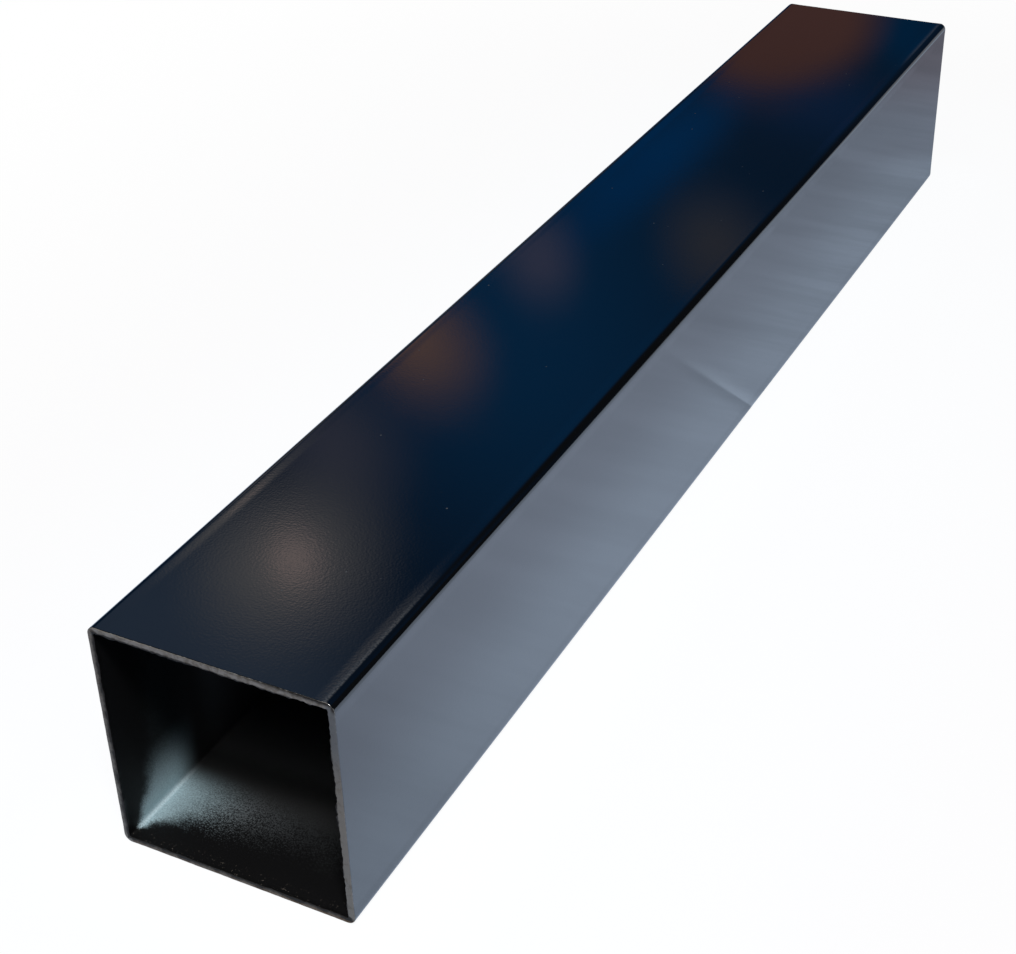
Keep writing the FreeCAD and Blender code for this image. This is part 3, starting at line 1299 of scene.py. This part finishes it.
@dataclass(frozen=True)
class Backdrop:
    """Dark upright sheet with soft glows, beyond the far end, which only the gloss of the post shows."""

    name: str = "studio_backdrop"
    gap: float = 0.40
    across: Span = (-1.7, 0.9)
    up: Span = (0.02, 1.7)
    colour: Colour = (0.008, 0.036, 0.095)
    glows: tuple[Glow, ...] = (
        Glow(0.4, 0.6, 0.6, 1.0, (0.016, 0.018, 0.022), 0.3, -0.5),
        Glow(-0.85, 0.28, 0.55, 0.26, (0.11, 0.10, 0.10), 0.5),
        Glow(-0.98, 1.25, 0.55, 0.46, (0.105, 0.165, 0.275), 0.2),
        Glow(-0.46, 0.66, 0.40, 0.42, (0.004, 0.09, 0.262)),
        Glow(-0.32, 0.42, 0.06, 0.14, (0.0, 0.085, 0.295), 0.2, -0.9),
        Glow(-0.15, 0.33, 0.13, 0.05, (0.012, 0.05, 0.155)),
        Glow(-0.575, 0.66, 0.115, 0.105, (0.41, 0.245, 0.21)),
        Glow(-0.43, 0.53, 0.065, 0.07, (0.16, 0.17, 0.30)),
        Glow(-0.245, 0.485, 0.08, 0.08, (0.10, 0.108, 0.142)),
        Glow(-0.085, 0.255, 0.05, 0.05, (0.0, 0.053, 0.16)),
        Glow(-0.19, 0.266, 0.10, 0.075, (0.19, 0.088, 0.078), 0.5, -0.5),
        Glow(-0.95, 0.70, 0.22, 0.28, (0.27, 0.28, 0.31)),
        Glow(-0.69, 0.81, 0.14, 0.12, (0.14, 0.155, 0.24)),
        Glow(-0.778, 1.01, 0.17, 0.2, (0.46, 0.45, 0.46), 0.0, -0.55),
        Glow(-0.762, 0.995, 0.06, 0.065, (1.0, 0.78, 0.74), 0.0, -0.35),
        Glow(0.45, 0.05, 0.4, 0.06, (0.5, 0.53, 0.6), 0.4),
        Glow(0.25, 0.05, 0.15, 0.13, (0.5, 0.53, 0.6), 0.5),
    )

    def build(self, post: PostTube) -> bpy.types.Object:
        """Make the backdrop: an upright sheet across the line of the post.

        Args:
            post: the post that mirrors it.

        Returns:
            The backdrop.
        """
        x, z = np.meshgrid(self.across, self.up)
        backdrop = grid_object(self.name, np.stack((x, np.full_like(x, post.high.y + self.gap), z), axis=-1))
        backdrop.data.materials.append(self.material())
        hide_from(backdrop, Unseen.CAMERA, Unseen.SHADOW, Unseen.DIFFUSE)
        LOG.info("%s: %d glows", self.name, len(self.glows))
        return backdrop

    def material(self) -> bpy.types.Material:
        """Make the glowing sheet's material: each glow covers the ones before it, fading from its core out.

        Returns:
            The material.
        """
        material, sheet = blank_material(self.name)
        material.cycles.emission_sampling = "NONE"
        x, _, z = sheet.axes(sheet.place())
        colour: Feed = self.colour
        for glow in self.glows:
            rise = sheet.minus(z, glow.up)
            run = sheet.minus(sheet.minus(x, glow.across), sheet.times(rise, glow.lean))
            wide = sheet.math("DIVIDE", run, glow.half_width)
            high = sheet.math("DIVIDE", rise, glow.half_height)
            colour = sheet.mix(sheet.step(sheet.length(wide, high), 1.0, glow.core), colour, glow.colour)
        shine = sheet.add("ShaderNodeEmission")
        sheet.feed(shine.inputs["Color"], colour)
        sheet.surface(shine.outputs[0])
        return material


@dataclass(frozen=True)
class Lamp:
    """Square soft box of the studio."""

    name: str
    place: Point
    aim: Point
    width: float
    power: float

    def build(self) -> bpy.types.Object:
        """Make the lamp, turned to what it aims at and unseen by the camera.

        Returns:
            The lamp.
        """
        data = bpy.data.lights.new(self.name, "AREA")
        data.shape = "SQUARE"
        data.size = self.width
        data.energy = self.power
        lamp = bpy.data.objects.new(self.name, data)
        lamp.location = self.place
        lamp.rotation_euler = (Vector(self.aim) - Vector(self.place)).to_track_quat("-Z", "Y").to_euler()
        bpy.context.scene.collection.objects.link(lamp)
        hide_from(lamp, Unseen.CAMERA)
        LOG.info("%s: %.1f W", self.name, self.power)
        return lamp


@dataclass(frozen=True)
class Studio:
    """Floor, backdrop, lamps, surroundings and camera."""

    eye: Point = (0.3216, -0.7351, 0.4878)
    look_at: Point = (0.0027, -0.1371, 0.05)
    roll: float = math.radians(1.79)
    lens: float = 66.33
    sensor: float = 36.0
    surroundings: Colour = (0.018, 0.020, 0.024)
    lamps: tuple[Lamp, ...] = (
        Lamp("mouth_lamp", (0.42, -0.84, 1.28), (0.0, -0.33, 0.05), 0.22, 23.5),
        Lamp("overhead_lamp", (0.3, -0.65, 1.25), (0.0, -0.2, 0.0), 1.0, 9.3),
        Lamp("rear_lamp", (-0.6, 0.55, 1.7), (0.0, 0.3, 0.05), 0.5, 1.9),
    )

    def build(self, post: PostTube) -> None:
        """Set up everything round the post.

        Args:
            post: the post that lies in the studio.
        """
        Floor().build(post)
        Backdrop().build(post)
        for lamp in self.lamps:
            lamp.build()
        self.build_world()
        self.build_camera()
        bpy.context.scene.view_settings.view_transform = "Standard"

    def build_world(self) -> None:
        """Make surroundings that are white to the camera and otherwise dim."""
        world = bpy.data.worlds.new("studio_world")
        world.use_nodes = True
        bpy.context.scene.world = world
        sheet = NodeSheet(world.node_tree)
        rays = sheet.add("ShaderNodeLightPath").outputs
        background = sheet.add("ShaderNodeBackground")
        sheet.feed(background.inputs["Color"], sheet.mix(rays["Is Camera Ray"], self.surroundings, WHITE))
        sheet.surface(background.outputs[0], "ShaderNodeOutputWorld")
        LOG.info("%s", world.name)

    def build_camera(self) -> None:
        """Stand the camera at the photograph's place, turned a little about its own line of sight."""
        data = bpy.data.cameras.new("photo_camera")
        data.sensor_fit = "HORIZONTAL"
        data.sensor_width = self.sensor
        data.lens = self.lens
        camera = bpy.data.objects.new("photo_camera", data)
        sight = (Vector(self.look_at) - Vector(self.eye)).normalized()
        level = sight.cross(Vector((0.0, 0.0, 1.0))).normalized()
        right = math.cos(self.roll) * level - math.sin(self.roll) * level.cross(sight)
        turn = Matrix((right, right.cross(sight), -sight)).transposed()
        camera.matrix_world = Matrix.Translation(self.eye) @ turn.to_4x4()
        bpy.context.scene.collection.objects.link(camera)
        bpy.context.scene.camera = camera
        LOG.info("%s: %.1f mm lens", camera.name, self.lens)


def main() -> None:
    """Build the post, dress it and set up the studio round it."""
    logging.basicConfig(level=logging.INFO, format="%(name)s: %(message)s")
    low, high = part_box(POST_NODE)
    post = PostTube(Vector(low), Vector(high))
    post.dress(post.build())
    Studio().build(post)


if __name__ == "__main__":
    main()
